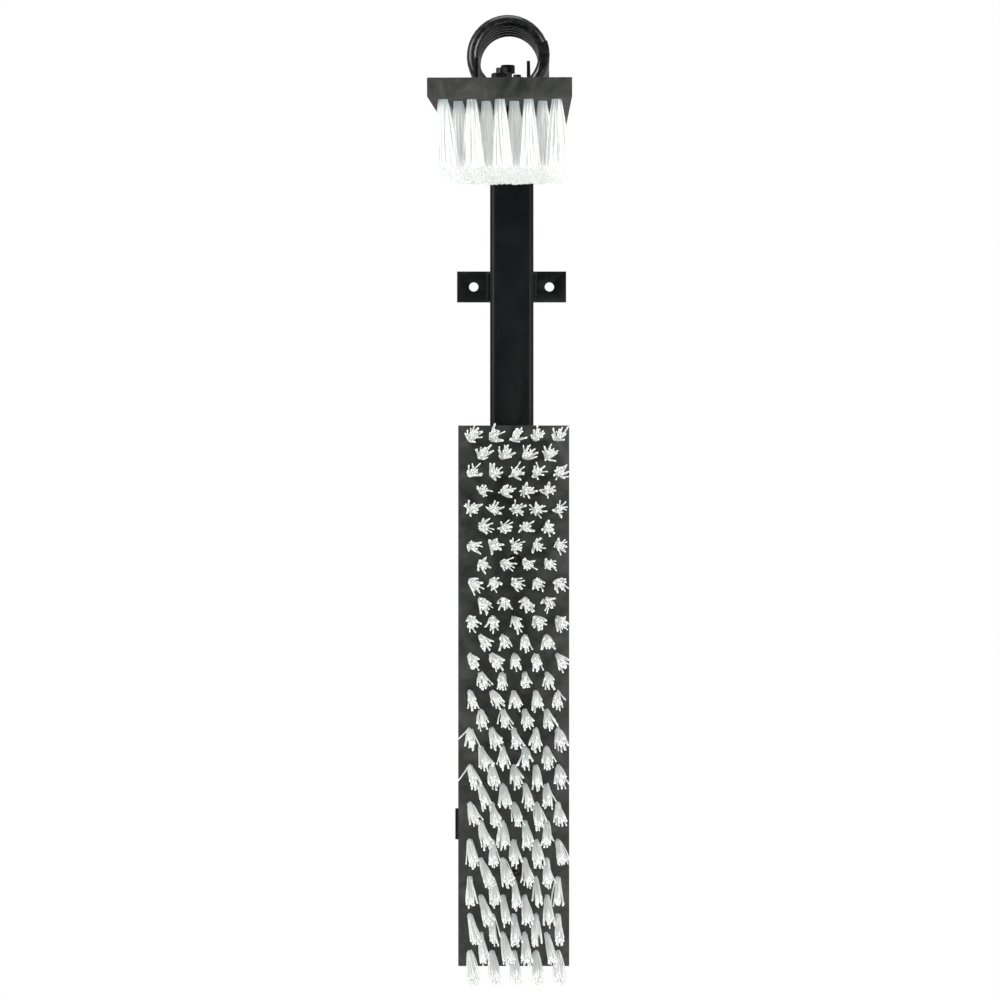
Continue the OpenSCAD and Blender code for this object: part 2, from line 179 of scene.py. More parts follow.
# Polyester powder coat on steel: even near-black with soft gloss, a shallow orange
# peel from the melted powder, and a breath of grey dust. Real peel is 1 to 2 mm;
# it is drawn at 5 mm so that it shows.
powder_coat = blank_material("black_polyester_powder_coat")
where = add_node(powder_coat, "ShaderNodeTexCoord")
peel = add_node(
    powder_coat, "ShaderNodeTexNoise", {"Scale": 200.0, "Detail": 3.0, "Roughness": 0.55},
    {"Vector": where.outputs["Object"]},
)
dust = add_node(
    powder_coat, "ShaderNodeTexNoise", {"Scale": 22.0, "Detail": 6.0, "Roughness": 0.65},
    {"Vector": where.outputs["Object"]},
)
dust_share = add_node(
    powder_coat, "ShaderNodeMapRange",
    {"From Min": 0.42, "From Max": 0.75, "To Min": 0.0, "To Max": 1.0}, {"Value": dust.outputs["Fac"]},
)
paint = add_node(
    powder_coat, "ShaderNodeMixRGB",
    {"Color1": linear_colour("#050607"), "Color2": linear_colour("#0D0E0F")},
    {"Fac": dust_share.outputs["Result"]},
)
sheen = add_node(
    powder_coat, "ShaderNodeMapRange",
    {"From Min": 0.3, "From Max": 0.7, "To Min": 0.34, "To Max": 0.5}, {"Value": dust.outputs["Fac"]},
)
peel_relief = add_node(
    powder_coat, "ShaderNodeBump", {"Strength": 0.12, "Distance": 0.0004}, {"Height": peel.outputs["Fac"]}
)
shader = add_node(
    powder_coat, "ShaderNodeBsdfPrincipled", {"IOR": 1.48, "Specular IOR Level": 0.155},
    {
        "Base Color": paint.outputs["Color"],
        "Roughness": sheen.outputs["Result"],
        "Normal": peel_relief.outputs["Normal"],
    },
)
add_node(powder_coat, "ShaderNodeOutputMaterial", {}, {"Surface": shader.outputs["BSDF"]})

# Moulded polyethylene: nearly black, waxy and matt, with a fine eroded grain of the mould
moulded_cap_plastic = blank_material("moulded_black_polyethylene")
where = add_node(moulded_cap_plastic, "ShaderNodeTexCoord")
grain = add_node(
    moulded_cap_plastic, "ShaderNodeTexNoise", {"Scale": 900.0, "Detail": 2.0},
    {"Vector": where.outputs["Object"]},
)
clouds = add_node(
    moulded_cap_plastic, "ShaderNodeTexNoise", {"Scale": 60.0, "Detail": 3.0},
    {"Vector": where.outputs["Object"]},
)
tone = add_node(
    moulded_cap_plastic, "ShaderNodeMixRGB",
    {"Color1": linear_colour("#161616"), "Color2": linear_colour("#232323")},
    {"Fac": clouds.outputs["Fac"]},
)
grain_relief = add_node(
    moulded_cap_plastic, "ShaderNodeBump", {"Strength": 0.2, "Distance": 0.0002},
    {"Height": grain.outputs["Fac"]},
)
shader = add_node(
    moulded_cap_plastic, "ShaderNodeBsdfPrincipled", {"IOR": 1.51, "Roughness": 0.55},
    {"Base Color": tone.outputs["Color"], "Normal": grain_relief.outputs["Normal"]},
)
add_node(moulded_cap_plastic, "ShaderNodeOutputMaterial", {}, {"Surface": shader.outputs["BSDF"]})


def select_only(*pieces):
    """Deselects everything else, and makes the last piece the active one."""
    bpy.ops.object.select_all(action="DESELECT")
    for piece in pieces:
        piece.select_set(True)
        bpy.context.view_layer.objects.active = piece


def finish_piece(piece, name, material, body, nodes):
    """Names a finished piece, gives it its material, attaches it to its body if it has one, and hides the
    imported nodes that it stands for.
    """
    piece.name = name
    piece.data.name = name
    piece.data.materials.clear()
    piece.data.materials.append(material)
    if body:
        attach(piece, body)
    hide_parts(*nodes)


def eased_copy(node, name, ease, material, body, steps=2):
    """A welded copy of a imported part, with its sharp edges eased as deburring or a mould does."""
    part = frame["nodes"][node]
    select_only(part)
    bpy.ops.object.duplicate()
    piece = bpy.context.object
    bpy.ops.object.parent_clear(type="CLEAR_KEEP_TRANSFORM")
    del piece["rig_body"]
    del piece["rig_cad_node"]
    bpy.ops.mesh.customdata_custom_splitnormals_clear()
    bpy.ops.object.mode_set(mode="EDIT")
    bpy.ops.mesh.select_all(action="SELECT")
    bpy.ops.mesh.remove_doubles(threshold=0.000002)
    bpy.ops.mesh.dissolve_limited(angle_limit=math.radians(0.4))
    bpy.ops.mesh.normals_make_consistent(inside=False)
    bpy.ops.object.mode_set(mode="OBJECT")
    edges = piece.modifiers.new("eased_edges", "BEVEL")
    edges.width = ease
    edges.segments = steps
    edges.limit_method = "ANGLE"
    edges.angle_limit = math.radians(38)
    bpy.ops.object.modifier_apply(modifier=edges.name)
    bpy.ops.object.shade_smooth_by_angle(angle=math.radians(36))
    finish_piece(piece, name, material, body, [node])


eased_copy("wall_post", "post_tube", 0.0004, powder_coat, "root")
eased_copy("post_top_cap", "top_cap", 0.0011, moulded_cap_plastic, "root", 3)
eased_copy("post_bottom_cap", "bottom_cap", 0.0011, moulded_cap_plastic, "root", 3)

# ---------------------------------------------------------------------------
# Wall straps: 35 by 5 mm flat bar, sawn, drilled and deburred, welded across the
# back of the post with one fillet bead on each side, and coated with it.
eased_copy("upper_wall_strap", "upper_strap", 0.0006, powder_coat, "root")
eased_copy("lower_wall_strap", "lower_strap", 0.0006, powder_coat, "root")


def weld_bead(length, radius, seed):
    """A bead along Z of overlapping puddles, as each dip of the torch leaves one."""
    puddle_pitch = 0.0027
    puddles = round(length / puddle_pitch)
    hand = random.Random(seed)
    made = []
    for i in range(puddles):
        bpy.ops.mesh.primitive_uv_sphere_add(
            segments=20, ring_count=12, radius=radius * hand.uniform(0.9, 1.04),
            location=(
                hand.uniform(-0.0003, 0.0003),
                hand.uniform(-0.0003, 0.0003),
                (i + 0.5) * length / puddles - length / 2,
            ),
        )
        puddle = bpy.context.object
        puddle.scale = (1, 1, 0.46)
        puddle.rotation_euler = (hand.uniform(0.25, 0.42), 0, 0)
        made.append(puddle)
    select_only(*made)
    bpy.ops.object.join()
    bead = bpy.context.object
    bpy.ops.object.transform_apply()
    fused = bead.modifiers.new("fused_puddles", "REMESH")
    fused.mode = "VOXEL"
    fused.voxel_size = 0.0006
    bpy.ops.object.modifier_apply(modifier=fused.name)
    soft = bead.modifiers.new("wetted_out", "SMOOTH")
    soft.factor = 0.5
    soft.iterations = 2
    bpy.ops.object.modifier_apply(modifier=soft.name)
    bpy.ops.object.shade_smooth()
    return bead


def laid_copies(model, name, places, material, body, nodes):
    """One piece of turned and moved copies of a model, which is used up."""
    made = []
    for place in places:
        select_only(model)
        bpy.ops.object.duplicate()
        copy = bpy.context.object
        copy.data.transform(place)
        if place.determinant() < 0:
            copy.data.flip_normals()
        made.append(copy)
    select_only(*made)
    bpy.ops.object.join()
    piece = bpy.context.object
    bpy.data.objects.remove(model)
    finish_piece(piece, name, material, body, nodes)


post_half = 0.024
bead_out = 0.0016
bead_forward = 0.0012


def strap_corner(node, side):
    """The middle of the corner between the post's side and a strap's front face."""
    low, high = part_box(node)
    return Matrix.Translation((side * (post_half + bead_out), low.y - bead_forward, (low.z + high.z) / 2))


mirror = Matrix.Diagonal((-1, 1, 1, 1))
laid_copies(
    weld_bead(0.031, 0.0046, 3), "strap_weld_beads",
    [
        strap_corner("upper_wall_strap", -1),
        strap_corner("upper_wall_strap", 1) @ mirror,
        strap_corner("lower_wall_strap", -1) @ Matrix.Rotation(math.pi, 4, "Z"),
        strap_corner("lower_wall_strap", 1) @ Matrix.Rotation(math.pi, 4, "X"),
    ],
    powder_coat, "root", ["strap_welds"],
)

# ---------------------------------------------------------------------------
# Upright board: a 17 mm thick board pressed from recycled grey plastic and planed, with
# chamfered long edges, drilled for the tufts and counterbored for its two screws.

# Recycled polyethylene, pressed and planed: dark grey, matt, with cloudy patches of
# unevenly mixed stock, flow streaks along the board and scattered pale specks
board_plastic = blank_material("pressed_recycled_polyethylene")
where = add_node(board_plastic, "ShaderNodeTexCoord")
patches = add_node(
    board_plastic, "ShaderNodeTexNoise", {"Scale": 38.0, "Detail": 5.0, "Roughness": 0.6, "Distortion": 0.8},
    {"Vector": where.outputs["Object"]},
)
patch_share = add_node(
    board_plastic, "ShaderNodeMapRange",
    {"From Min": 0.36, "From Max": 0.66, "To Min": 0.0, "To Max": 1.0}, {"Value": patches.outputs["Fac"]},
)
mottle = add_node(
    board_plastic, "ShaderNodeMixRGB",
    {"Color1": linear_colour("#191B1B"), "Color2": linear_colour("#40413E")},
    {"Fac": patch_share.outputs["Result"]},
)
along = add_node(
    board_plastic, "ShaderNodeMapping", {"Scale": (9.0, 1.0, 1.0)}, {"Vector": where.outputs["Object"]}
)
streaks = add_node(
    board_plastic, "ShaderNodeTexNoise", {"Scale": 30.0, "Detail": 4.0, "Roughness": 0.55},
    {"Vector": along.outputs["Vector"]},
)
streak_share = add_node(
    board_plastic, "ShaderNodeMapRange",
    {"From Min": 0.35, "From Max": 0.7, "To Min": 0.0, "To Max": 0.4}, {"Value": streaks.outputs["Fac"]},
)
streaked = add_node(
    board_plastic, "ShaderNodeMixRGB", {"Color2": linear_colour("#282826")},
    {"Fac": streak_share.outputs["Result"], "Color1": mottle.outputs["Color"]},
)
specks = add_node(
    board_plastic, "ShaderNodeTexVoronoi", {"Scale": 110.0, "Randomness": 1.0},
    {"Vector": where.outputs["Object"]},
)
speck_share = add_node(
    board_plastic, "ShaderNodeMapRange",
    {"From Min": 0.05, "From Max": 0.12, "To Min": 0.5, "To Max": 0.0}, {"Value": specks.outputs["Distance"]},
)
speckled = add_node(
    board_plastic, "ShaderNodeMixRGB", {"Color2": linear_colour("#444542")},
    {"Fac": speck_share.outputs["Result"], "Color1": streaked.outputs["Color"]},
)
planed = add_node(
    board_plastic, "ShaderNodeBump", {"Strength": 0.3, "Distance": 0.0004}, {"Height": streaks.outputs["Fac"]}
)
dull = add_node(
    board_plastic, "ShaderNodeMapRange",
    {"From Min": 0.3, "From Max": 0.7, "To Min": 0.5, "To Max": 0.68}, {"Value": patches.outputs["Fac"]},
)
shader = add_node(
    board_plastic, "ShaderNodeBsdfPrincipled", {"IOR": 1.51, "Specular IOR Level": 0.2},
    {
        "Base Color": speckled.outputs["Color"],
        "Roughness": dull.outputs["Result"],
        "Normal": planed.outputs["Normal"],
    },
)
add_node(board_plastic, "ShaderNodeOutputMaterial", {}, {"Surface": shader.outputs["BSDF"]})

eased_copy("wall_brush_board", "upright_board", 0.0009, board_plastic, "root", 3)

# ---------------------------------------------------------------------------
# Upright board's fasteners: two M8 socket head screws sunk in the counterbores, and
# the two rivet nuts pulled up inside the tube's front wall that they turn into.

# Black oxide on alloy steel: oiled near-black, satin, with brown-grey wear on it
black_oxide = blank_material("oiled_black_oxide_steel")
where = add_node(black_oxide, "ShaderNodeTexCoord")
handling = add_node(
    black_oxide, "ShaderNodeTexNoise", {"Scale": 260.0, "Detail": 5.0, "Roughness": 0.6},
    {"Vector": where.outputs["Object"]},
)
worn = add_node(
    black_oxide, "ShaderNodeMixRGB",
    {"Color1": linear_colour("#101012"), "Color2": linear_colour("#262624")},
    {"Fac": handling.outputs["Fac"]},
)
oil = add_node(
    black_oxide, "ShaderNodeMapRange",
    {"From Min": 0.3, "From Max": 0.7, "To Min": 0.3, "To Max": 0.48}, {"Value": handling.outputs["Fac"]},
)
forged = add_node(
    black_oxide, "ShaderNodeBump", {"Strength": 0.15, "Distance": 0.0002}, {"Height": handling.outputs["Fac"]}
)
shader = add_node(
    black_oxide, "ShaderNodeBsdfPrincipled", {"Metallic": 0.6, "Specular IOR Level": 0.3},
    {
        "Base Color": worn.outputs["Color"],
        "Roughness": oil.outputs["Result"],
        "Normal": forged.outputs["Normal"],
    },
)
add_node(black_oxide, "ShaderNodeOutputMaterial", {}, {"Surface": shader.outputs["BSDF"]})

# Zinc plate, barrel plated: light blue-grey metal, satin, with faint cloudy passivation
zinc_plate = blank_material("barrel_zinc_plated_steel")
where = add_node(zinc_plate, "ShaderNodeTexCoord")
passivation = add_node(
    zinc_plate, "ShaderNodeTexNoise", {"Scale": 320.0, "Detail": 4.0}, {"Vector": where.outputs["Object"]}
)
tint = add_node(
    zinc_plate, "ShaderNodeMixRGB",
    {"Color1": linear_colour("#A9AFB5"), "Color2": linear_colour("#C6C8C6")},
    {"Fac": passivation.outputs["Fac"]},
)
satin = add_node(
    zinc_plate, "ShaderNodeMapRange",
    {"From Min": 0.3, "From Max": 0.7, "To Min": 0.28, "To Max": 0.42}, {"Value": passivation.outputs["Fac"]},
)
shader = add_node(
    zinc_plate, "ShaderNodeBsdfPrincipled", {"Metallic": 1.0},
    {"Base Color": tint.outputs["Color"], "Roughness": satin.outputs["Result"]},
)
add_node(zinc_plate, "ShaderNodeOutputMaterial", {}, {"Surface": shader.outputs["BSDF"]})

eased_copy("wall_brush_screws", "upright_board_screws", 0.0005, black_oxide, "root")
eased_copy("post_rivet_nuts", "rivet_nuts", 0.0003, zinc_plate, "root")

# ---------------------------------------------------------------------------
# Upright board's bristles: 29 staggered rows of five or four tufts of cut nylon
# filament 1.4 mm thick, stapled in drilled holes; use has splayed them into fingers
# at the top, and laid them downward and to the right at the foot.

# Extruded nylon filament: translucent white, faintly bluish, whiter along the free length; each strand a
# little off. Towards the root the strands are painted a darker bluish grey: painted shade from the board and
# the packed tuft.
# The faint glow is painted light: an emission that stands for the light that so many translucent strands pass
# on
nylon = blank_material("extruded_white_nylon_filament")
reach = add_node(nylon, "ShaderNodeAttribute", {"attribute_name": "strand_reach"})
shade = add_node(nylon, "ShaderNodeAttribute", {"attribute_name": "strand_shade"})
# Painted shade: the strand colour darkens to a bluish grey towards each strand's root
root_shade_share = add_node(
    nylon, "ShaderNodeMapRange",
    {"From Min": 0.02, "From Max": 0.22, "To Min": 0.0, "To Max": 1.0}, {"Value": reach.outputs["Fac"]},
)
free_colour = add_node(
    nylon, "ShaderNodeMixRGB",
    {"Color1": linear_colour("#D4D8D7"), "Color2": linear_colour("#E2E3DF")},
    {"Fac": shade.outputs["Fac"]},
)
strand_colour = add_node(
    nylon, "ShaderNodeMixRGB", {"Color1": linear_colour("#BCC4C8")},
    {"Fac": root_shade_share.outputs["Result"], "Color2": free_colour.outputs["Color"]},
)
# Painted light: a faint emission of the strand colour makes every strand glow
shader = add_node(
    nylon, "ShaderNodeBsdfPrincipled",
    {
        "IOR": 1.53,
        "Roughness": 0.42,
        "Specular IOR Level": 0.35,
        "Emission Strength": 0.18,
        "Subsurface Weight": 0.85,
        "Subsurface Radius": (0.004, 0.004, 0.0038),
        "Subsurface Scale": 1.0,
    },
    {"Base Color": strand_colour.outputs["Color"], "Emission Color": strand_colour.outputs["Color"]},
)
add_node(nylon, "ShaderNodeOutputMaterial", {}, {"Surface": shader.outputs["BSDF"]})


def filament(thickness):
    """A straight five-sided strand of unit length along Z, with rings so that it can bend."""
    bpy.ops.mesh.primitive_cylinder_add(vertices=5, radius=thickness / 2, depth=1, location=(0, 0, 0.5))
    bpy.ops.object.transform_apply()
    bpy.ops.object.mode_set(mode="EDIT")
    for height in (0.3, 0.65):
        bpy.ops.mesh.select_all(action="SELECT")
        bpy.ops.mesh.bisect(plane_co=(0, 0, height), plane_no=(0, 0, 1))
    bpy.ops.object.mode_set(mode="OBJECT")
    return bpy.context.object


def grow_tufts(strand, tufts, seed, name, body, node):
    """Copies the strand into every tuft. A tuft is its root, its tips' middle as seen from the
    root, the radius at its root, its fingers as (sideways, up, strands), their spread,
    how late along its length it flares, and how tangled its strands are."""
    most_bow = 0.0012
    hand = random.Random(seed)
    points = [tuple(v.co) for v in strand.data.vertices]
    outline = [tuple(face.vertices) for face in strand.data.polygons]
    vertices = []
    faces = []
    reaches = []
    shades = []
    for root, tips, root_radius, fingers, spread, flare, tangle in tufts:
        ahead = tips.normalized()
        side = ahead.cross(Vector((0, 0, 1)) if abs(ahead.z) < 0.7 else Vector((0, 1, 0))).normalized()
        up = side.cross(ahead)
        widest = max(math.hypot(across, rise) for across, rise, _ in fingers)
        for across, rise, strands in fingers:
            angle = math.atan2(rise, across)
            tidy_share = math.hypot(across, rise) / widest
            for _ in range(strands):
                turn = angle + tangle * hand.uniform(-1.3, 1.3)
                out = root_radius * (tangle * math.sqrt(hand.random()) + (1 - tangle) * tidy_share)
                at_root = side * (out * math.cos(turn)) + up * (out * math.sin(turn))
                run = tips * hand.uniform(0.955, 1.0)
                sideways = (
                    side * (across + hand.gauss(0, spread)) + up * (rise + hand.gauss(0, spread)) - at_root
                )
                bow = (side * hand.uniform(-1, 1) + up * hand.uniform(-1, 1)) * most_bow
                cross_a = (run + sideways).cross(up).normalized()
                cross_b = (run + sideways).cross(cross_a).normalized()
                shift = len(vertices)
                shade_here = hand.random()
                for x, y, along_strand in points:
                    bend = 4 * along_strand * (1 - along_strand)
                    vertices.append(
                        root + at_root + run * along_strand + sideways * along_strand ** flare
                        + bow * bend + cross_a * x + cross_b * y
                    )
                    reaches.append(along_strand)
                    shades.append(shade_here)
                faces.extend(tuple(shift + k for k in corners) for corners in outline)
    mesh = bpy.data.meshes.new(name)
    mesh.from_pydata([tuple(v) for v in vertices], [], faces)
    for label, values in (("strand_reach", reaches), ("strand_shade", shades)):
        mesh.attributes.new(label, "FLOAT", "POINT").data.foreach_set("value", values)
    piece = bpy.data.objects.new(name, mesh)
    bpy.context.scene.collection.objects.link(piece)
    bpy.data.objects.remove(strand)
    select_only(piece)
    bpy.ops.object.mode_set(mode="EDIT")
    bpy.ops.mesh.select_all(action="SELECT")
    bpy.ops.mesh.normals_make_consistent(inside=False)
    bpy.ops.object.mode_set(mode="OBJECT")
    bpy.ops.object.shade_smooth_by_angle(angle=math.radians(75))
    finish_piece(piece, name, nylon, body, [node])


def sunflower(count, radius):
    """An even round patch of single strands: the cut end of an unworn tuft."""
    golden_angle = 2.39996
    return [
        (
            radius * math.sqrt((k + 0.5) / count) * math.cos(golden_angle * k),
            radius * math.sqrt((k + 0.5) / count) * math.sin(golden_angle * k),
            1,
        )
        for k in range(count)
    ]


tuft_length = 0.057
upright_sunk = 0.002
tuft_step = 0.024
five_places = (-2, -1, 0, 1, 2)
four_places = (-1.5, -0.5, 0.5, 1.5)
edge_to_row = 0.015
upright_rows = 29
closer_rows = 7
closer_pitch = 0.01925
wider_pitch = 0.0203
worn_splay = 0.0104
screw_row = 24
lowered_by_screw = 0.0033
rows_with_strays = (16, 18)
board_low, board_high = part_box("wall_brush_board")
board_middle = (board_low.x + board_high.x) / 2
splay_hand = random.Random(11)
upright_tufts = []
for row in range(upright_rows):
    below_top = closer_pitch * min(row, closer_rows) + wider_pitch * max(row - closer_rows, 0)
    height = board_high.z - edge_to_row - below_top
    places = five_places if row % 2 == 0 else four_places
    for place in places:
        across_board = place * tuft_step
        drop = lowered_by_screw if row == screw_row and place == 0 else 0
        root = Vector((board_middle + across_board, board_low.y + upright_sunk, height - drop))
        stray = 0.0004 + 0.0014 * min(1, row / 12) if row < upright_rows - 1 else 0
        lean_side = math.atan(
            (0.0037 - 0.04 * across_board + splay_hand.gauss(0, stray)) / tuft_length
        )
        lean_down = math.atan((0.0013 - 0.046 * root.z + splay_hand.gauss(0, stray / 2)) / tuft_length)
        tips = Vector((
            math.sin(lean_side) * math.cos(lean_down),
            -math.cos(lean_side) * math.cos(lean_down),
            -math.sin(lean_down),
        )) * (tuft_length + upright_sunk)
        if row == upright_rows - 1:
            upright_tufts.append((root, tips, 0.0033, sunflower(36, 0.0076), 0.0004, 1.0, 0.2))
            continue
        worn_share = 1 - row / 90
        fingers = []
        count = splay_hand.randint(8, 11)
        for k in range(count):
            turn = 2 * math.pi * (k + splay_hand.uniform(-0.4, 0.4)) / count
            out = worn_splay * worn_share * math.sqrt(splay_hand.uniform(0.1, 1.0))
            fingers.append((out * math.cos(turn), out * math.sin(turn), splay_hand.randint(1, 4)))
        fingers += sunflower(12, 0.0045 * worn_share)
        if place == -2 and row in rows_with_strays:
            fingers.append((0.019, 0.003, 1))
        upright_tufts.append((root, tips, 0.0029, fingers, 0.00045, 1.1, 1.0))
grow_tufts(filament(0.0014), upright_tufts, 21, "upright_bristles", "root", "wall_brush_tufts")

# ---------------------------------------------------------------------------
# Head bracket: two 4 mm cheeks on the sides of the post and a saddle plate bridging
# them, plasma cut plate, welded together and coated; it holds the coil's rear turns.
eased_copy("head_cheek_left", "cheek_left", 0.0006, powder_coat, "root")
eased_copy("head_cheek_right", "cheek_right", 0.0006, powder_coat, "root")
eased_copy("head_saddle_plate", "saddle_plate", 0.0006, powder_coat, "root")

weld_low, weld_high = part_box("head_welds")
weld_middle = (weld_low + weld_high) / 2
weld_in = 0.0016
weld_back = 0.0006
weld_corner = Matrix.Translation((weld_high.x - weld_in, weld_middle.y + weld_back, weld_middle.z))
laid_copies(
    weld_bead(weld_high.z - weld_low.z - 0.002, 0.0028, 5), "head_weld_beads",
    [weld_corner, mirror @ weld_corner],
    powder_coat, "root", ["head_welds"],
)

# ---------------------------------------------------------------------------
# Coil spring: five turns of 12 mm spring steel wire, hot wound and dipped in black
# enamel. Its front end is cut and ground, its rear end runs down as a straight tail.
# It is two pieces that meet in its middle.

# Dipped alkyd enamel on spring steel: deep gloss black with thick runny spots that
# wave the highlights, and dull scuffed streaks round the wire
dipped_enamel = blank_material("dipped_black_alkyd_enamel")
where = add_node(dipped_enamel, "ShaderNodeTexCoord")
runs = add_node(
    dipped_enamel, "ShaderNodeTexNoise", {"Scale": 85.0, "Detail": 3.0, "Distortion": 0.6},
    {"Vector": where.outputs["Object"]},
)
scuffs = add_node(
    dipped_enamel, "ShaderNodeTexNoise", {"Scale": 190.0, "Detail": 6.0, "Roughness": 0.7},
    {"Vector": where.outputs["Object"]},
)
scuff_share = add_node(
    dipped_enamel, "ShaderNodeMapRange",
    {"From Min": 0.45, "From Max": 0.7, "To Min": 0.0, "To Max": 1.0}, {"Value": scuffs.outputs["Fac"]},
)
enamel = add_node(
    dipped_enamel, "ShaderNodeMixRGB",
    {"Color1": linear_colour("#090A0B"), "Color2": linear_colour("#20201F")},
    {"Fac": scuff_share.outputs["Result"]},
)
gloss = add_node(
    dipped_enamel, "ShaderNodeMapRange",
    {"From Min": 0.35, "From Max": 0.7, "To Min": 0.17, "To Max": 0.4}, {"Value": scuffs.outputs["Fac"]},
)
waves = add_node(
    dipped_enamel, "ShaderNodeBump", {"Strength": 0.25, "Distance": 0.0008}, {"Height": runs.outputs["Fac"]}
)
shader = add_node(
    dipped_enamel, "ShaderNodeBsdfPrincipled", {"IOR": 1.5},
    {
        "Base Color": enamel.outputs["Color"],
        "Roughness": gloss.outputs["Result"],
        "Normal": waves.outputs["Normal"],
    },
)
add_node(dipped_enamel, "ShaderNodeOutputMaterial", {}, {"Surface": shader.outputs["BSDF"]})

# The arm's own frame: X across, Y back along the arm, Z up from the board's top face
arm_frame = (
    Matrix.Translation((-0.0134, -0.641, 0.4153))
    @ Matrix.Rotation(math.radians(-0.96), 4, "Z")
    @ Matrix.Rotation(math.radians(5.93), 4, "X")
)
coil_radius = 0.037
wire_radius = 0.006
coil_pitch = 0.025
coil_front = Vector((0.0015, 0.4376, 0.0598))
half_sweep = 910.0
half_steps = 92
start_angle = 20.0
ring_points = 20
ground_off = 0.0024


def wound_half(turned):
    """Half of the coil: a ring at 3 o'clock swept clockwise along Y, then turned to its start."""
    bpy.ops.mesh.primitive_circle_add(
        vertices=ring_points, radius=wire_radius, location=(coil_radius, 0, 0)
    )
    bpy.ops.object.transform_apply()
    half = bpy.context.object
    winding = half.modifiers.new("winding", "SCREW")
    winding.axis = "Y"
    winding.angle = math.radians(half_sweep)
    winding.screw_offset = coil_pitch * half_sweep / 360
    winding.steps = half_steps
    winding.render_steps = half_steps
    winding.use_merge_vertices = False
    bpy.ops.object.modifier_apply(modifier=winding.name)
    half.data.transform(Matrix.Rotation(math.radians(turned), 4, "Y"))
    return half


def close_ends(piece):
    """Caps the open wire ends and turns all faces outward."""
    select_only(piece)
    bpy.ops.object.mode_set(mode="EDIT")
    bpy.ops.mesh.select_mode(type="EDGE")
    bpy.ops.mesh.select_all(action="DESELECT")
    bpy.ops.mesh.select_non_manifold()
    bpy.ops.mesh.fill_holes(sides=0)
    bpy.ops.mesh.select_all(action="SELECT")
    bpy.ops.mesh.normals_make_consistent(inside=False)
    bpy.ops.mesh.select_mode(type="VERT")
    bpy.ops.object.mode_set(mode="OBJECT")
    bpy.ops.object.shade_smooth_by_angle(angle=math.radians(40))


front_half = wound_half(-start_angle)
close_ends(front_half)
bpy.ops.object.mode_set(mode="EDIT")
bpy.ops.mesh.select_all(action="SELECT")
bpy.ops.mesh.bisect(
    plane_co=(0, -ground_off, 0), plane_no=(0, -1, 0), use_fill=True, clear_outer=True
)
bpy.ops.object.mode_set(mode="OBJECT")
bpy.ops.object.shade_smooth_by_angle(angle=math.radians(40))
front_half.data.transform(arm_frame @ Matrix.Translation(coil_front))

rear_half = wound_half(-start_angle + half_sweep)
rear_end = coil_pitch * half_sweep / 360
bpy.ops.object.mode_set(mode="EDIT")
bpy.ops.mesh.select_mode(type="VERT")
bpy.ops.mesh.select_all(action="DESELECT")
bpy.ops.object.mode_set(mode="OBJECT")
for vertex in rear_half.data.vertices:
    vertex.select = vertex.index >= len(rear_half.data.vertices) - ring_points
bpy.ops.object.mode_set(mode="EDIT")
tail_lengths = (0.008, 0.032, 0.0585)
for drop in tail_lengths:
    bpy.ops.mesh.extrude_region_move(TRANSFORM_OT_translate={"value": (0, 0, -drop)})
bpy.ops.transform.resize(value=(0.9, 0.9, 1))
bpy.ops.mesh.extrude_region_move(TRANSFORM_OT_translate={"value": (0, 0, -0.0015)})
bpy.ops.transform.resize(value=(0.8, 0.8, 1))
bpy.ops.object.mode_set(mode="OBJECT")
close_ends(rear_half)
coil_middle = coil_front + Vector((0, rear_end, 0))
rear_half.data.transform(arm_frame @ Matrix.Translation(coil_middle))

finish_piece(front_half, "coil_front_half", dipped_enamel, None, ["coil_spring"])
finish_piece(rear_half, "coil_rear_half", dipped_enamel, None, ["coil_spring"])


def bend_along_winding(half):
    """Bakes a half's placement into its own mesh."""
    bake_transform(half)


bend_along_winding(front_half)
bend_along_winding(rear_half)

# ---------------------------------------------------------------------------
# Tail U-bolt and rear clamp: a 6 mm U-bolt holds the coil's tail to the right cheek,
# and an M8 bolt presses a curved shoe down inside the rear turns.
eased_copy("tail_u_bolt", "u_bolt", 0.0005, zinc_plate, "root")
eased_copy("rear_clamp_shoe", "rear_shoe", 0.0008, powder_coat, "root")


def hexagon(across_flats, height):
    """A hexagon standing on Z = 0, with its upper corners turned off at 30 degrees."""
    bpy.ops.mesh.primitive_cylinder_add(
        vertices=6, radius=across_flats / 2 / math.cos(math.pi / 6), depth=height,
        location=(0, 0, height / 2),
    )
    body = bpy.context.object
    top_radius = across_flats / 2 * 0.98
    bpy.ops.mesh.primitive_cone_add(
        vertices=48, radius1=top_radius + height / math.tan(math.pi / 6), radius2=top_radius,
        depth=height, location=(0, 0, height / 2),
    )
    turned = bpy.context.object
    select_only(body)
    bpy.ops.object.transform_apply()
    cut = body.modifiers.new("turned_corners", "BOOLEAN")
    cut.operation = "INTERSECT"
    cut.object = turned
    bpy.ops.object.modifier_apply(modifier=cut.name)
    bpy.data.objects.remove(turned)
    return body


def bored(body, bore, height):
    """Drills a nut through along Z."""
    bpy.ops.mesh.primitive_cylinder_add(vertices=32, radius=bore / 2, depth=height * 4)
    drill = bpy.context.object
    select_only(body)
    cut = body.modifiers.new("bore", "BOOLEAN")
    cut.operation = "DIFFERENCE"
    cut.object = drill
    bpy.ops.object.modifier_apply(modifier=cut.name)
    bpy.data.objects.remove(drill)
    bpy.ops.object.shade_smooth_by_angle(angle=math.radians(30))
    return body


def on_arm(x, y, z, turn=0):
    """A place in the arm's frame."""
    return arm_frame @ Matrix.Translation((x, y, z)) @ Matrix.Rotation(math.radians(turn), 4, "Z")


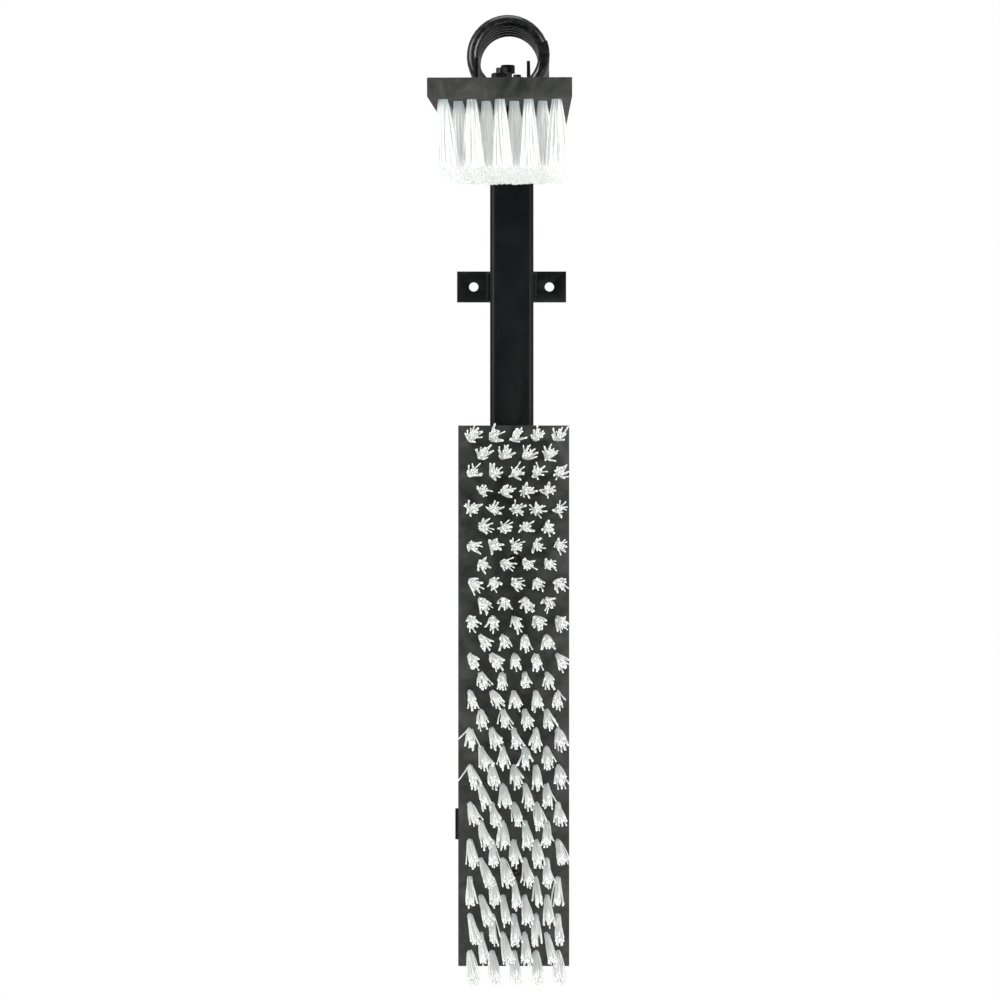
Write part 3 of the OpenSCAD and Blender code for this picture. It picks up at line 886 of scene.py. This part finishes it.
u_nut_x = 0.0225
u_nut_z = -0.018
u_nut_height = 0.005
u_leg_out = 0.0093
u_nut_y = coil_front.y + 2 * rear_end
laid_copies(
    bored(hexagon(0.010, u_nut_height), 0.0061, u_nut_height), "u_bolt_nuts",
    [
        on_arm(u_nut_x, u_nut_y + side * u_leg_out, u_nut_z) @ Matrix.Rotation(math.radians(90), 4, "Y")
        for side in (-1, 1)
    ],
    zinc_plate, "root", ["tail_u_bolt_nuts"],
)
m8_flats = 0.013
m8_bore = 0.0081
m8_nut_height = 0.0062
m8_locknut_height = 0.009
first_bottom = coil_front.y + coil_pitch * (start_angle + 90) / 360
rear_y = first_bottom + 3.5 * coil_pitch
rear_nut_base = 0.037
rear_locknut_base = 0.0492
laid_copies(
    bored(hexagon(m8_flats, m8_nut_height), m8_bore, m8_nut_height), "rear_nut",
    [on_arm(0, rear_y, rear_nut_base, 12)],
    black_oxide, "root", ["rear_clamp_nut"],
)
laid_copies(
    bored(hexagon(m8_flats, m8_locknut_height), m8_bore, m8_locknut_height), "rear_locknut",
    [on_arm(0, rear_y, rear_locknut_base, 30)],
    black_oxide, "root", ["rear_clamp_locknut"],
)
eased_copy("rear_clamp_bolt", "rear_bolt", 0.0004, black_oxide, "root")

# ---------------------------------------------------------------------------
# Arm: a folded channel of 3 mm sheet, its legs up, with a welded seat that fills the
# height under the coil's front turns; the front clamp is like the rear one.
eased_copy("arm_channel", "arm_sheet", 0.0008, powder_coat, "arm")
eased_copy("front_coil_seat", "coil_seat", 0.0006, powder_coat, "arm")
eased_copy("front_clamp_shoe", "front_shoe", 0.0008, powder_coat, "arm")
eased_copy("front_clamp_bolt", "front_bolt", 0.0004, black_oxide, "arm")
front_x = 0.0107
front_y = first_bottom + 0.5 * coil_pitch
front_nut_base = 0.0329
laid_copies(
    bored(hexagon(m8_flats, m8_nut_height), m8_bore, m8_nut_height), "front_nut",
    [on_arm(front_x, front_y, front_nut_base, 8)],
    black_oxide, "arm", ["front_clamp_nut"],
)

# ---------------------------------------------------------------------------
# Board over the back: the same pressed board, 410 mm long, held under the channel by
# two M10 socket screws from below, with washers and locknuts on the channel.
eased_copy("back_brush_board", "back_board", 0.0009, board_plastic, "arm", 3)
eased_copy("back_brush_washers", "back_board_washers", 0.0003, black_oxide, "arm")
eased_copy("back_brush_screws", "back_board_screws", 0.0005, black_oxide, "arm")
m10_flats = 0.016
m10_bore = 0.0101
m10_locknut_height = 0.0084
washer_top = 0.005
laid_copies(
    bored(hexagon(m10_flats, m10_locknut_height), m10_bore, m10_locknut_height), "back_board_locknuts",
    [on_arm(0, 0.115, washer_top, 30), on_arm(0, 0.315, washer_top, 12)],
    black_oxide, "arm", ["back_brush_locknuts"],
)

# ---------------------------------------------------------------------------
# Back board's bristles: 20 staggered rows of the same nylon, hardly worn, packed so
# that the tufts flare into one white mass at their cut tips.
back_rows = 20
back_pitch = 0.020
drilled_in = 0.0155
lean_side = math.atan(0.0021 / tuft_length)
tips = arm_frame.to_3x3() @ Vector((math.sin(lean_side), 0, -math.cos(lean_side)))
back_tufts = []
for row in range(back_rows):
    places = five_places if row % 2 == 0 else four_places
    for place in places:
        root = arm_frame @ Vector((place * tuft_step, edge_to_row + back_pitch * row, -drilled_in))
        flared_to = 0.0105 if abs(place) == 2 else 0.0088
        back_tufts.append(
            (root, tips * (tuft_length + 0.0015), 0.0034, sunflower(60, flared_to), 0.0005, 0.9, 0.2)
        )
grow_tufts(filament(0.0015), back_tufts, 31, "back_bristles", "arm", "back_brush_tufts")
